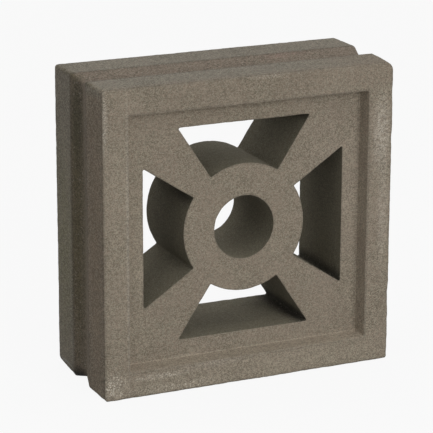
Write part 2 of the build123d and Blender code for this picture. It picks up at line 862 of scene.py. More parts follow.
@dataclass
class CastBlock:
    """The whole block as one dressed mesh.

    Attributes:
        sizes: Sizes of the block.
        corners: Corners that are knocked round.
        grain: Sandy grain that the mesh carries.
        swell: Slow unevenness of the cast faces.
        weld_cell: Distance in millimetres within which points on a seam are one.
        sharp_angle: Least angle of an edge that is shaded sharp, in degrees.
    """

    sizes: BlockSizes
    corners: tuple[WornCorner, ...] = (
        WornCorner(1, 1, 1.9, 3.4, 1.9, 0.3, 0.12, 31.0),
        WornCorner(-1, -1, 2.6, 3.2, 0.1, 1.3, 0.15, 37.0),
        WornCorner(-1, 1, 2.2, 2.4, 0.2, 0.0, 0.15, 41.0),
        WornCorner(1, -1, 2.2, 2.2, 0.1, 0.1, 0.15, 43.0),
    )
    grain: Unevenness = Unevenness(0.16, 2.6, 51.0)
    swell: Unevenness = Unevenness(0.12, 17.0, 53.0)
    weld_cell: float = 2e-3
    sharp_angle: float = 48.0

    def patches(self) -> list[Patch]:
        """Builds every patch of the block's surface.

        Returns:
            The patches.
        """
        frame = GroovedFrame(self.sizes)
        outlines = HoleOutlines(self.sizes)
        holes = [outlines.opening(turns) for turns in range(4)] + [outlines.bore()]
        seams = [part.seam() for part in (frame, *holes)]
        flats = PiercedPanel(self.sizes, seams).build()
        return [part.build() for part in (frame, *holes)] + flats

    def weld(self, patches: list[Patch]) -> Patch:
        """Joins the patches along their seams.

        Args:
            patches: The patches.

        Returns:
            One patch with each point once.
        """
        points = np.concatenate([patch.points for patch in patches])
        arris = np.concatenate([patch.arris for patch in patches])
        cells = np.round(points / self.weld_cell).astype(np.int64)
        _, chosen, owner = np.unique(cells, axis=0, return_index=True, return_inverse=True)
        owner = owner.reshape(-1)
        faces, skins, first = [], [], 0
        for patch in patches:
            for face, skin in zip(patch.faces, patch.skins):
                merged = tuple(int(owner[first + v]) for v in face)
                if len(set(merged)) == len(merged):
                    faces.append(merged)
                    skins.append(skin)
            first += len(patch.points)
        return Patch(points[chosen], faces, skins, arris[chosen])

    def roughen(self, mesh: bpy.types.Mesh) -> None:
        """Sinks the mesh's points by the sandy grain and the slow unevenness.

        Args:
            mesh: The block's mesh, in metres.
        """
        count = len(mesh.vertices)
        points = np.zeros(count * 3, np.float32)
        normals = np.zeros(count * 3, np.float32)
        mesh.vertices.foreach_get("co", points)
        mesh.vertex_normals.foreach_get("vector", normals)
        points = points.reshape(-1, 3).astype(float) / MM
        normals = normals.reshape(-1, 3).astype(float)
        sunk = points - normals * (self.grain.at(points) + self.swell.at(points))[:, None]
        mesh.vertices.foreach_set("co", (sunk * MM).astype(np.float32).reshape(-1))
        mesh.update()

    def build(self, finishes: "BlockFinishes") -> bpy.types.Object:
        """Builds and dresses the block.

        Args:
            finishes: The block's finishes.

        Returns:
            The dressed piece.
        """
        whole = self.weld(self.patches())
        for corner in self.corners:
            whole.points = corner.wear(whole.points, self.sizes)
        mesh = bpy.data.meshes.new("cast_block")
        mesh.from_pydata((whole.points * MM).tolist(), [], whole.faces)
        mesh.polygons.foreach_set("material_index", np.array(whole.skins, np.int32))
        worn = mesh.attributes.new("arris", "FLOAT", "POINT")
        worn.data.foreach_set("value", whole.arris.astype(np.float32))
        shell = bmesh.new()
        shell.from_mesh(mesh)
        bmesh.ops.recalc_face_normals(shell, faces=shell.faces)
        open_edges = sum(1 for edge in shell.edges if len(edge.link_faces) != 2)
        shell.to_mesh(mesh)
        shell.free()
        self.roughen(mesh)
        mesh.shade_smooth()
        mesh.set_sharp_from_angle(angle=math.radians(self.sharp_angle))
        for material in finishes.in_order():
            mesh.materials.append(material)
        piece = bpy.data.objects.new("cast_block", mesh)
        bpy.context.scene.collection.objects.link(piece)
        triangles = sum(len(face) - 2 for face in whole.faces)
        log.info("cast_block: %d triangles, %d open edges", triangles, open_edges)
        return piece


class NodeSheet:
    """A node tree with short calls that add nodes and join them."""

    def __init__(self, tree: bpy.types.NodeTree) -> None:
        """Takes the tree to work on.

        Args:
            tree: The tree.
        """
        self.tree = tree

    def add(self, kind: str, **settings: object) -> bpy.types.Node:
        """Adds a node.

        Args:
            kind: Type name of the node.
            **settings: Values of the node's own settings.

        Returns:
            The node.
        """
        node = self.tree.nodes.new(kind)
        for name, value in settings.items():
            setattr(node, name, value)
        return node

    def feed(self, socket: bpy.types.NodeSocket, source: object) -> None:
        """Joins a socket to another one or sets its value.

        Args:
            socket: The input socket.
            source: An output socket or a value.
        """
        if isinstance(source, bpy.types.NodeSocket):
            self.tree.links.new(source, socket)
        else:
            socket.default_value = source

    def fill(self, node: bpy.types.Node, **sources: object) -> None:
        """Feeds a node's inputs by name.

        Args:
            node: The node.
            **sources: Output sockets or values by the input's name, with underscores for spaces.
        """
        for name, source in sources.items():
            self.feed(node.inputs[name.replace("_", " ").capitalize()], source)

    def math(self, operation: str, first: object, second: object = 0.0) -> bpy.types.NodeSocket:
        """Adds a Math node.

        Args:
            operation: Its operation.
            first: Its first value.
            second: Its second value.

        Returns:
            Its output.
        """
        node = self.add("ShaderNodeMath", operation=operation)
        self.feed(node.inputs[0], first)
        self.feed(node.inputs[1], second)
        return node.outputs[0]

    def vector(self, operation: str, first: object, second: object) -> bpy.types.NodeSocket:
        """Adds a Vector Math node.

        Args:
            operation: Its operation.
            first: Its first vector.
            second: Its second vector.

        Returns:
            Its output, a value for a dot product or a distance and a vector otherwise.
        """
        node = self.add("ShaderNodeVectorMath", operation=operation)
        self.feed(node.inputs[0], first)
        self.feed(node.inputs[1], second)
        gives_value = operation in ("DOT_PRODUCT", "DISTANCE")
        return node.outputs["Value" if gives_value else "Vector"]

    def spread(
        self, value: object, levels: Pair, start: float = 0.0, end: float = 1.0
    ) -> bpy.types.NodeSocket:
        """Maps a range of values smoothly onto another.

        Args:
            value: The value.
            levels: Start and end of its range, each a number or an output socket.
            start: Result at the start.
            end: Result at the end.

        Returns:
            The result.
        """
        node = self.add("ShaderNodeMapRange", interpolation_type="SMOOTHSTEP")
        for socket, source in zip(node.inputs, (value, *levels, start, end)):
            self.feed(socket, source)
        return node.outputs[0]

    def blend(
        self, share: object, first: object, second: object, mode: str = "MIX"
    ) -> bpy.types.NodeSocket:
        """Mixes two colours.

        Args:
            share: Share of the second colour.
            first: The first colour.
            second: The second colour.
            mode: How they are mixed.

        Returns:
            The mixed colour.
        """
        node = self.add("ShaderNodeMix", data_type="RGBA", blend_type=mode)
        self.feed(node.inputs[0], share)
        self.feed(node.inputs[6], first)
        self.feed(node.inputs[7], second)
        return node.outputs[2]

    def noise(self, place: object, scale: object, detail: float) -> bpy.types.NodeSocket:
        """Adds a noise texture.

        Args:
            place: Where it is read.
            scale: Its scale.
            detail: Its detail.

        Returns:
            Its value.
        """
        node = self.add("ShaderNodeTexNoise")
        self.fill(node, vector=place, scale=scale, detail=detail)
        return node.outputs["Fac"]

    def group(self, tree: bpy.types.NodeTree, **sources: object) -> bpy.types.Node:
        """Places a node group.

        Args:
            tree: The group.
            **sources: Its inputs, as for fill.

        Returns:
            The group's node.
        """
        node = self.add("ShaderNodeGroup", node_tree=tree)
        self.fill(node, **sources)
        return node


def new_group(
    name: str, inputs: dict[str, str], outputs: tuple[str, ...]
) -> tuple[NodeSheet, bpy.types.Node, bpy.types.Node]:
    """Starts a shader node group.

    Args:
        name: Name of the group.
        inputs: Socket type of each input by name.
        outputs: Names of the outputs, which are all numbers.

    Returns:
        The sheet to draw it on, its input node and its output node.
    """
    tree = bpy.data.node_groups.new(name, "ShaderNodeTree")
    for label, kind in inputs.items():
        tree.interface.new_socket(label, in_out="INPUT", socket_type=kind)
    for label in outputs:
        tree.interface.new_socket(label, in_out="OUTPUT", socket_type=FLOAT)
    sheet = NodeSheet(tree)
    return sheet, sheet.add("NodeGroupInput"), sheet.add("NodeGroupOutput")


@dataclass(frozen=True)
class NoiseLayer:
    """One layer of noise.

    Attributes:
        scale: Its scale, per metre or as a share of another scale.
        detail: Its detail.
        levels: Levels of the noise that give nothing and the layer's whole share.
        share: The layer's share in what it is part of.
    """

    scale: float
    detail: float
    levels: Pair
    share: float = 1.0

    def draw(self, sheet: NodeSheet, place: object, scale: object) -> bpy.types.NodeSocket:
        """Draws the layer.

        Args:
            sheet: The sheet to draw it on.
            place: Where it is read.
            scale: The scale that the layer's own is a share of.

        Returns:
            Its value, from 0 to its share.
        """
        level = sheet.noise(place, sheet.math("MULTIPLY", scale, self.scale), self.detail)
        return sheet.spread(level, self.levels, 0.0, self.share)


@dataclass(frozen=True)
class SandGrain:
    """Sand grains and the paste between them.

    Attributes:
        grain_levels: Levels of a grain's random number that make it dark and light.
        grain_share: Share of the grains' own tones in the tone.
        fine: Fine mottling of the tone and the height.
        coarse: Coarse mottling of the tone.
        pits: Small pits.
        pale_levels: Levels of a grain's random number between which it turns pale.
        dome_levels: Distances from a grain's middle at which it has no height and its full one.
        least_dome: Full height of the lowest grain, as a share of the highest one's.
        dome_share: Share of the grains' domes in the height.
    """

    grain_levels: Pair = (0.1, 0.9)
    grain_share: float = 0.75
    fine: NoiseLayer = NoiseLayer(1.3, 3.0, (0.34, 0.66), 0.35)
    coarse: NoiseLayer = NoiseLayer(0.28, 2.0, (0.3, 0.7), 0.06)
    pits: NoiseLayer = NoiseLayer(0.42, 1.0, (0.25, 0.17))
    pale_levels: Pair = (0.955, 0.985)
    dome_levels: Pair = (0.62, 0.15)
    least_dome: float = 0.4
    dome_share: float = 0.6

    def group(self) -> bpy.types.NodeTree:
        """Builds the node group.

        Returns:
            The group.
        """
        sheet, start, end = new_group(
            "sand_grain",
            {"Place": VECTOR, "Grains per metre": FLOAT},
            ("Tone", "Hue", "Pale grains", "Pits", "Height"),
        )
        place, density = start.outputs[:2]
        cells = sheet.add("ShaderNodeTexVoronoi", feature="F1")
        sheet.fill(cells, vector=place, scale=density)
        numbers = sheet.add("ShaderNodeSeparateColor")
        sheet.fill(numbers, color=cells.outputs["Color"])
        shade, paleness, hue = numbers.outputs
        fine = self.fine.draw(sheet, place, density)
        coarse = self.coarse.draw(sheet, place, density)
        pits = self.pits.draw(sheet, place, density)
        grains = sheet.spread(shade, self.grain_levels, 0.0, self.grain_share)
        tone = sheet.math("ADD", sheet.math("ADD", grains, fine), coarse)
        dome = sheet.spread(cells.outputs["Distance"], self.dome_levels, 0.0, self.dome_share)
        rise = sheet.math("MULTIPLY", dome, sheet.spread(hue, (0.0, 1.0), self.least_dome))
        height = sheet.math("SUBTRACT", sheet.math("ADD", rise, fine), pits)
        pale = sheet.spread(paleness, self.pale_levels)
        sheet.fill(end, tone=tone, hue=hue, pale_grains=pale, pits=pits, height=height)
        return sheet.tree


@dataclass(frozen=True)
class ToneDrift:
    """Slow change of tone and of warmth over the faces.

    Attributes:
        light: Change of tone.
        warm: Change of warmth.
        apart: Shift between the patterns of the two.
    """

    light: NoiseLayer = NoiseLayer(1.0, 3.0, (0.3, 0.7))
    warm: NoiseLayer = NoiseLayer(1.7, 2.0, (0.35, 0.65))
    apart: Triple = (0.37, 0.11, 0.73)

    def group(self) -> bpy.types.NodeTree:
        """Builds the node group.

        Returns:
            The group.
        """
        sheet, start, end = new_group(
            "tone_drift", {"Place": VECTOR, "Scale": FLOAT}, ("Light", "Warm")
        )
        place, scale = start.outputs[:2]
        moved = sheet.vector("ADD", place, self.apart)
        light = self.light.draw(sheet, place, scale)
        sheet.fill(end, light=light, warm=self.warm.draw(sheet, moved, scale))
        return sheet.tree


@dataclass(frozen=True)
class StainOrLightCloud:
    """Ellipsoid cloud broken up into specks, for a patch of bloom, dirt, painted light or shade.

    Attributes:
        fade: Shares of the reach at which the cloud has gone and at which it is whole.
        speck_edge: Rise of the noise from the edge of a speck to its middle.
        detail: Detail of that noise.
    """

    fade: Pair = (1.0, 0.15)
    speck_edge: float = 0.2
    detail: float = 3.0

    def group(self) -> bpy.types.NodeTree:
        """Builds the node group.

        Returns:
            The group.
        """
        vectors = dict.fromkeys(("Place", "Centre", "Reach"), VECTOR)
        numbers = dict.fromkeys(("Break up", "Level", "Least"), FLOAT)
        sheet, start, end = new_group("stain_or_light_cloud", vectors | numbers, ("Mask",))
        place, centre, reach, break_up, level, least = start.outputs[:6]
        share = sheet.vector("DIVIDE", sheet.vector("SUBTRACT", place, centre), reach)
        away = sheet.vector("DISTANCE", share, (0.0, 0.0, 0.0))
        cloud = sheet.spread(away, self.fade)
        middle = sheet.math("ADD", level, self.speck_edge)
        specks = sheet.spread(sheet.noise(place, break_up, self.detail), (level, middle), least)
        sheet.fill(end, mask=sheet.math("MULTIPLY", cloud, specks))
        return sheet.tree


@dataclass(frozen=True)
class RubbedArris:
    """Rubbed arris, broken up by noise.

    Attributes:
        near: Nearness to the arris at which the rubbing starts and at which it is full.
        levels: Levels of the noise between which it goes from least to full.
        least: Its least share.
        detail: Detail of the noise.
    """

    near: Pair = (0.35, 1.0)
    levels: Pair = (0.35, 0.62)
    least: float = 0.2
    detail: float = 3.0

    def group(self) -> bpy.types.NodeTree:
        """Builds the node group.

        Returns:
            The group.
        """
        sheet, start, end = new_group(
            "worn_arris", {"Place": VECTOR, "Nearness": FLOAT, "Break up": FLOAT}, ("Mask",)
        )
        place, nearness, break_up = start.outputs[:3]
        grains = sheet.noise(place, break_up, self.detail)
        broken = sheet.spread(grains, self.levels, self.least)
        close = sheet.spread(nearness, self.near)
        sheet.fill(end, mask=sheet.math("MULTIPLY", close, broken))
        return sheet.tree


@dataclass(frozen=True)
class SideZones:
    """Zones of the edge faces: the groove, and the flanges that weather has made greyer.

    All lengths are in metres.

    Attributes:
        wander: Greatest wander of the groove's edge.
        wander_scale: Scale of that wander, per metre.
        wander_detail: Detail of that wander.
        groove_edge: Distances from mid depth between which the groove starts.
        top_edge: Heights between which the top face starts.
        front_edge: Depths between which the front arris ends.
        arris_share: Share of the weathering on that arris.
        weathered_part: Places along the top between which the weathering grows to full.
        right_share: Share of the weathering at the right end of the top.
    """

    wander: float = 0.003
    wander_scale: float = 160.0
    wander_detail: float = 3.0
    groove_edge: Pair = (0.0142, 0.0118)
    top_edge: Pair = (0.192, 0.1965)
    front_edge: Pair = (-0.04, -0.03)
    arris_share: float = 0.3
    weathered_part: Pair = (0.095, 0.03)
    right_share: float = 0.25

    def group(self) -> bpy.types.NodeTree:
        """Builds the node group.

        Returns:
            The group.
        """
        sheet, start, end = new_group(
            "side_zones", {"Place": VECTOR}, ("Groove", "Weathered")
        )
        place = start.outputs[0]
        split = sheet.add("ShaderNodeSeparateXYZ")
        sheet.fill(split, vector=place)
        x, y, z = split.outputs
        level = sheet.noise(place, self.wander_scale, self.wander_detail)
        wander = sheet.math("MULTIPLY", sheet.math("SUBTRACT", level, 0.5), self.wander)
        depth = sheet.math("ADD", y, wander)
        groove = sheet.spread(sheet.math("ABSOLUTE", depth), self.groove_edge)
        back = sheet.spread(depth, self.groove_edge[::-1])
        from_front = sheet.spread(depth, self.front_edge, self.arris_share)
        from_right = sheet.spread(x, self.weathered_part, self.right_share)
        away = sheet.math("MULTIPLY", from_front, from_right)
        top = sheet.math("MULTIPLY", sheet.spread(z, self.top_edge), away)
        flange = sheet.math("MAXIMUM", back, top)
        weathered = sheet.math("MULTIPLY", flange, sheet.math("SUBTRACT", 1.0, groove))
        sheet.fill(end, groove=groove, weathered=weathered)
        return sheet.tree


class CastEffects:
    """The node groups of the effects that the block's finishes share."""

    def __init__(self) -> None:
        """Builds the groups."""
        self.sand = SandGrain().group()
        self.drift = ToneDrift().group()
        self.stain_or_light = StainOrLightCloud().group()
        self.worn = RubbedArris().group()
        self.zones = SideZones().group()


def rgb(red: float, green: float, blue: float) -> Colour:
    """Gives a colour with full alpha."""
    return (red, green, blue, 1.0)


BLACK = rgb(0.0, 0.0, 0.0)
WHITE = rgb(1.0, 1.0, 1.0)


@dataclass(frozen=True)
class StainOrLight:
    """A patch of salt bloom or dirt, or a patch of painted light or shade.

    Attributes:
        centre: Its middle, in metres.
        reach: Its half sizes, in metres.
        strength: Most share of its colour.
        colour: Its colour.
        break_up: Scale of the noise that breaks it up, per metre.
        level: Noise level above which its specks lie.
        least: Its share between the specks.
    """

    centre: Triple
    reach: Triple
    strength: float
    colour: Colour
    break_up: float = 330.0
    level: float = 0.38
    least: float = 0.25


@dataclass
class Coat:
    """The colour of a material while its layers are laid.

    Attributes:
        sheet: The material's sheet.
        effects: The shared effects.
        place: Position on the block.
        colour: The colour so far.
    """

    sheet: NodeSheet
    effects: CastEffects
    place: bpy.types.NodeSocket
    colour: bpy.types.NodeSocket

    def lay(self, share: object, colour: object) -> None:
        """Lays a share of another colour over the coat."""
        self.colour = self.sheet.blend(share, self.colour, colour)

    def tint(self, share: object, tint: object) -> None:
        """Multiplies a share of the coat by a tint."""
        self.colour = self.sheet.blend(share, self.colour, tint, "MULTIPLY")


@dataclass(frozen=True)
class ConcreteFinish:
    """Matt cast sand and cement.

    Attributes:
        name: Name of the material.
        dark: Colour of its dark grains.
        light: Colour of its light grains.
        warm: Colour that it drifts towards.
        pale: Colour of rubbed arrises and pale grains.
        warmth: Most share of the warm colour.
        rub: Most share of the pale colour on arrises.
        arris_darkening: Share by which the colour near arrises is darkened.
        relief: Height of the grain in metres.
        roughness: Roughness of the surface.
        stains_and_light: Patches of bloom and dirt, and of painted light and shade.
        grains_per_metre: Number of sand grains in a metre.
        groove: Tint of the mortar groove, or None for a finish that has none.
        weathered: Tint of the weathered flanges, beside the groove's.
        tone_shift: Shift of the grains' tone.
        drift_scale: Scale of the slow drift, per metre.
        drift_share: Most that the drift adds to the tone.
        ruddy: Tint of the reddest grains.
        greenish: Tint of the greenest grains.
        stain_or_light_grain: Brightness of a patch on the darkest and on the lightest grains.
        arris_darkening_near: Nearness to an arris at which the darkening starts and at which it is
            full.
        rub_scale: Scale of the noise that breaks up rubbed arrises, per metre.
        pale_share: Share of the pale colour on pale grains.
        pit_share: Share of the pits' colour in pits.
        pit_tone: Brightness of the pits' colour, as a share of the dark grains'.
        sheen: Specular level of the surface.
    """

    name: str
    dark: Colour
    light: Colour
    warm: Colour
    pale: Colour
    warmth: float
    rub: float
    arris_darkening: float
    relief: float
    roughness: float
    stains_and_light: tuple[StainOrLight, ...]
    grains_per_metre: float = 1600.0
    groove: Colour | None = None
    weathered: Colour | None = None
    tone_shift: float = -0.12
    drift_scale: float = 32.0
    drift_share: float = 0.16
    ruddy: Colour = rgb(1.035, 0.985, 0.98)
    greenish: Colour = rgb(0.965, 1.015, 1.01)
    stain_or_light_grain: Pair = (0.7, 1.3)
    arris_darkening_near: Pair = (0.2, 0.9)
    rub_scale: float = 420.0
    pale_share: float = 0.45
    pit_share: float = 0.35
    pit_tone: float = 0.5
    sheen: float = 0.25

    def material(self, effects: CastEffects) -> bpy.types.Material:
        """Makes the material.

        Args:
            effects: The shared effects.

        Returns:
            The material.
        """
        material = bpy.data.materials.new(self.name)
        material.use_nodes = True
        sheet = NodeSheet(material.node_tree)
        place = sheet.add("ShaderNodeTexCoord").outputs["Object"]
        sand = sheet.group(effects.sand, place=place, grains_per_metre=self.grains_per_metre)
        drift = sheet.group(effects.drift, place=place, scale=self.drift_scale)
        drifted = sheet.math("MULTIPLY", drift.outputs["Light"], self.drift_share)
        shifted = sheet.math("ADD", sand.outputs["Tone"], self.tone_shift)
        tone = sheet.math("ADD", shifted, drifted)
        coat = Coat(sheet, effects, place, sheet.blend(tone, self.dark, self.light))
        coat.lay(sheet.math("MULTIPLY", drift.outputs["Warm"], self.warmth), self.warm)
        coat.tint(1.0, sheet.blend(sand.outputs["Hue"], self.ruddy, self.greenish))
        if self.groove is not None:
            zones = sheet.group(effects.zones, place=place)
            coat.tint(zones.outputs["Groove"], self.groove)
            coat.tint(zones.outputs["Weathered"], self.weathered)
        self.stain_or_light(coat, tone)
        self.wear(coat, sand)
        bump = sheet.add("ShaderNodeBump")
        sheet.fill(bump, strength=1.0, distance=self.relief, height=sand.outputs["Height"])
        shader = sheet.tree.nodes["Principled BSDF"]
        sheet.fill(shader, roughness=self.roughness, normal=bump.outputs["Normal"])
        sheet.feed(shader.inputs["Base Color"], coat.colour)
        sheet.feed(shader.inputs["Specular IOR Level"], self.sheen)
        return material

    def stain_or_light(self, coat: Coat, tone: bpy.types.NodeSocket) -> None:
        """Lays the patches of bloom and dirt and of painted light and shade.

        Args:
            coat: The coat under them.
            tone: Tone of the sand grains, from 0 to 1.
        """
        sheet = coat.sheet
        grains = sheet.spread(tone, (0.0, 1.0), *self.stain_or_light_grain)
        for stain_or_light in self.stains_and_light:
            cloud = sheet.group(
                coat.effects.stain_or_light,
                place=coat.place,
                centre=stain_or_light.centre,
                reach=stain_or_light.reach,
                break_up=stain_or_light.break_up,
                level=stain_or_light.level,
                least=stain_or_light.least,
            )
            grained = sheet.blend(1.0, stain_or_light.colour, grains, "MULTIPLY")
            coat.lay(sheet.math("MULTIPLY", cloud.outputs["Mask"], stain_or_light.strength), grained)

    def wear(self, coat: Coat, sand: bpy.types.Node) -> None:
        """Darkens arrises and lays rubbed arrises, pale grains and pits.

        Args:
            coat: The coat under them.
            sand: The sand grain's node.
        """
        sheet = coat.sheet
        nearness = sheet.add("ShaderNodeAttribute", attribute_name="arris").outputs["Fac"]
        # Darkens the colour near arrises.
        coat.tint(sheet.spread(nearness, self.arris_darkening_near, 0.0, self.arris_darkening), BLACK)
        worn = sheet.group(
            coat.effects.worn, place=coat.place, nearness=nearness, break_up=self.rub_scale
        )
        rubbed = sheet.math("MULTIPLY", worn.outputs["Mask"], self.rub)
        grains = sheet.math("MULTIPLY", sand.outputs["Pale grains"], self.pale_share)
        coat.lay(sheet.math("MAXIMUM", rubbed, grains), self.pale)
        hollow = rgb(*(self.pit_tone * part for part in self.dark[:3]))
        coat.lay(sheet.math("MULTIPLY", sand.outputs["Pits"], self.pit_share), hollow)


@dataclass(frozen=True)
class BlockFinishes:
    """The finishes of the block's kinds of surface.

    Each row of a list of patches, of bloom and dirt or of painted light and shade, gives centre,
    reach, strength and colour, and then, where they aren't the usual ones, the scale of the noise
    that breaks the patch up, level and least.

    Attributes:
        effects: The shared effects.
    """

    effects: CastEffects

    def face_stains_and_light(self) -> tuple[StainOrLight, ...]:
        """Lists the patches of bloom and dirt on the front face, and of painted light and shade
        there.

        Returns:
            The patches, from the lowest layer to the uppermost.
        """
        salt = rgb(0.36, 0.325, 0.27)
        crystals = rgb(0.5, 0.455, 0.38)
        dust_and_painted_light = rgb(0.27, 0.235, 0.178)
        painted_shade = rgb(0.135, 0.11, 0.08)
        rose = rgb(0.235, 0.192, 0.155)
        return (
            # Painted shade: the top border darker than the bottom one.
            StainOrLight((0.0, -0.04, 0.192), (0.13, 0.012, 0.014), 0.3, painted_shade),
            # Painted shade on the panel under the top rim.
            StainOrLight((0.0, -0.03, 0.176), (0.1, 0.006, 0.012), 0.22, painted_shade, 150.0, 0.35, 0.6),
            # Painted light: the bottom border lighter.
            StainOrLight((0.0, -0.04, 0.007), (0.16, 0.012, 0.017), 0.55, dust_and_painted_light),
            # Lighter left border and the panel edge beside it.
            StainOrLight((-0.087, -0.038, 0.1), (0.02, 0.014, 0.14), 0.3, dust_and_painted_light),
            # Painted light on the panel beside the left and right recess walls, where the walls
            # cast shade.
            StainOrLight((-0.07, -0.031, 0.1), (0.012, 0.004, 0.1), 0.5, dust_and_painted_light, 150.0, 0.35, 0.6),
            StainOrLight((0.074, -0.031, 0.1), (0.01, 0.004, 0.1), 0.4, dust_and_painted_light, 150.0, 0.35, 0.6),
            StainOrLight((0.092, -0.04, 0.154), (0.009, 0.012, 0.035), 0.8, salt, 450.0),
            StainOrLight((0.094, -0.04, 0.1), (0.006, 0.012, 0.05), 0.45, salt, 450.0),
            StainOrLight((-0.0835, -0.04, 0.1), (0.0018, 0.005, 0.13), 0.42, salt, 330.0, 0.3, 0.5),
            StainOrLight((-0.0985, -0.04, 0.18), (0.0028, 0.006, 0.028), 0.9, salt, 700.0, 0.42),
            StainOrLight((-0.094, -0.04, 0.009), (0.012, 0.008, 0.013), 1.0, crystals, 900.0, 0.47, 0.08),
            StainOrLight((-0.061, -0.04, 0.0125), (0.03, 0.008, 0.003), 0.75, crystals, 900.0, 0.46, 0.1),
            StainOrLight((-0.025, -0.04, 0.0155), (0.03, 0.008, 0.0035), 0.45, salt, 700.0, 0.42, 0.2),
            StainOrLight((-0.05, -0.04, 0.004), (0.045, 0.008, 0.005), 0.8, crystals, 900.0, 0.5, 0.05),
            # Painted shade at the floor, on the lower left corner of the front face.
            StainOrLight((-0.096, -0.04, 0.002), (0.007, 0.006, 0.003), 0.7, painted_shade, 900.0, 0.45),
            StainOrLight((0.01, -0.039, 0.199), (0.018, 0.005, 0.003), 0.4, crystals, 900.0, 0.45, 0.1),
            StainOrLight((0.065, -0.035, 0.115), (0.045, 0.016, 0.11), 0.35, rose, 120.0, 0.4, 0.4),
            StainOrLight((-0.03, -0.035, 0.02), (0.06, 0.016, 0.03), 0.3, rose, 120.0, 0.45, 0.2),
        )

    def side_stains_and_shade(self) -> tuple[StainOrLight, ...]:
        """Lists the patches of dirt on the edge faces, and the painted shade and contact shadow
        there.

        Returns:
            The patches, from the lowest layer to the uppermost.
        """
        painted_side_shade = rgb(0.091, 0.076, 0.042)
        deep_painted_side_shade = rgb(0.05, 0.046, 0.027)
        earth = rgb(0.197, 0.15, 0.1)
        olive = rgb(0.19, 0.177, 0.104)
        rust = rgb(0.3, 0.195, 0.16)
        painted_contact_shadow = rgb(0.012, 0.01, 0.007)
        chalk = rgb(0.3, 0.3, 0.29)
        return (
            StainOrLight((-0.1, -0.027, 0.1), (0.006, 0.02, 0.16), 0.45, earth, 200.0, 0.35, 0.5),
            StainOrLight((-0.1, 0.027, 0.085), (0.006, 0.02, 0.1), 0.5, olive, 200.0, 0.35, 0.5),
            # Painted shade in the left groove.
            StainOrLight((-0.098, 0.0085, 0.1), (0.01, 0.0095, 0.16), 0.8, painted_side_shade, 330.0, 0.3, 0.75),
            StainOrLight((-0.098, -0.002, 0.1), (0.01, 0.014, 0.16), 0.5, painted_side_shade, 330.0, 0.3, 0.75),
            # More painted shade in the upper part of the left groove.
            StainOrLight((-0.098, 0.006, 0.17), (0.01, 0.01, 0.045), 0.6, deep_painted_side_shade, 330.0, 0.3, 0.6),
            # Painted contact shadow at the foot of the left side.
            StainOrLight((-0.098, 0.006, 0.002), (0.012, 0.016, 0.009), 1.0, painted_contact_shadow, 330.0, 0.3, 0.8),
            StainOrLight((-0.1, 0.028, 0.0055), (0.006, 0.014, 0.0014), 0.6, chalk, 600.0, 0.35),
            StainOrLight((0.045, 0.01, 0.198), (0.022, 0.006, 0.005), 0.3, rust),
            # Painted shade along the top-left edge.
            StainOrLight((-0.0995, 0.006, 0.1995), (0.004, 0.06, 0.004), 0.6, painted_side_shade),
        )

    def draft_light_and_shade(self) -> tuple[StainOrLight, ...]:
        """Lists the painted light on the top recess wall and the painted shade on the bottom one.

        Returns:
            The patches, from the lowest layer to the uppermost.
        """
        dust_and_painted_light = rgb(0.5, 0.43, 0.335)
        painted_shade = rgb(0.19, 0.162, 0.117)
        return (
            # Painted light on the top recess wall, which faces down and gets little light.
            StainOrLight((-0.02, -0.035, 0.182), (0.12, 0.02, 0.005), 0.9, dust_and_painted_light, 200.0, 0.25, 0.75),
            # Painted shade on the bottom recess wall.
            StainOrLight((0.0, -0.035, 0.018), (0.12, 0.02, 0.004), 0.4, painted_shade, 200.0, 0.3, 0.6),
        )

    def core_painted_shade(self) -> tuple[StainOrLight, ...]:
        """Lists the painted shade in the deep corners of the openings.

        Returns:
            The patches, from the lowest layer to the uppermost.
        """
        painted_corner_shade = rgb(0.03, 0.026, 0.018)
        return (
            # Painted shade in the deep corners, where the floor meets the side walls.
            StainOrLight((0.0454, 0.0, 0.0309), (0.013, 0.2, 0.013), 0.85, painted_corner_shade, 120.0, 0.1, 0.8),
            StainOrLight((0.0691, 0.0, 0.0546), (0.011, 0.2, 0.011), 0.8, painted_corner_shade, 120.0, 0.1, 0.8),
            StainOrLight((0.0454, 0.0, 0.1691), (0.008, 0.2, 0.008), 0.5, painted_corner_shade, 120.0, 0.1, 0.8),
            StainOrLight((-0.0351, -0.02, 0.1231), (0.009, 0.03, 0.009), 0.6, painted_corner_shade, 120.0, 0.1, 0.8),
        )

    def in_order(self) -> list[bpy.types.Material]:
        """Makes the materials.

        Returns:
            One material for each kind of cast surface, in the order of Skin.
        """
        pressed = ConcreteFinish(
            name="pressed_concrete",
            dark=rgb(0.131, 0.109, 0.08),
            light=rgb(0.277, 0.239, 0.183),
            warm=rgb(0.228, 0.182, 0.142),
            pale=rgb(0.34, 0.305, 0.25),
            warmth=0.3,
            rub=0.1,
            arris_darkening=0.15,
            relief=0.0005,
            roughness=0.92,
            stains_and_light=self.face_stains_and_light(),
        )
        mould_side = replace(
            pressed,
            name="mould_side_concrete",
            grains_per_metre=1300.0,
            dark=rgb(0.104, 0.086, 0.063),
            light=rgb(0.293, 0.245, 0.188),
            rub=0.03,
            arris_darkening=0.22,
            groove=rgb(0.84, 0.83, 0.84),
            weathered=rgb(0.95, 1.02, 1.06),
            stains_and_light=self.side_stains_and_shade(),
        )
        cored = replace(
            pressed,
            name="cored_concrete",
            dark=rgb(0.115, 0.104, 0.073),
            light=rgb(0.208, 0.187, 0.134),
            warm=rgb(0.17, 0.149, 0.107),
            warmth=0.2,
            relief=0.0003,
            roughness=0.88,
            stains_and_light=self.core_painted_shade(),
        )
        # Painted light: the recess walls get a lighter copy of the pressed finish, which lifts
        # walls that the lamps leave darker.
        drafted_lightened = replace(
            pressed,
            name="drafted_concrete_lightened",
            dark=rgb(0.182, 0.15, 0.112),
            light=rgb(0.36, 0.308, 0.238),
            relief=0.0003,
            stains_and_light=self.draft_light_and_shade(),
        )
        finishes = (pressed, mould_side, cored, drafted_lightened)
        return [finish.material(self.effects) for finish in finishes]


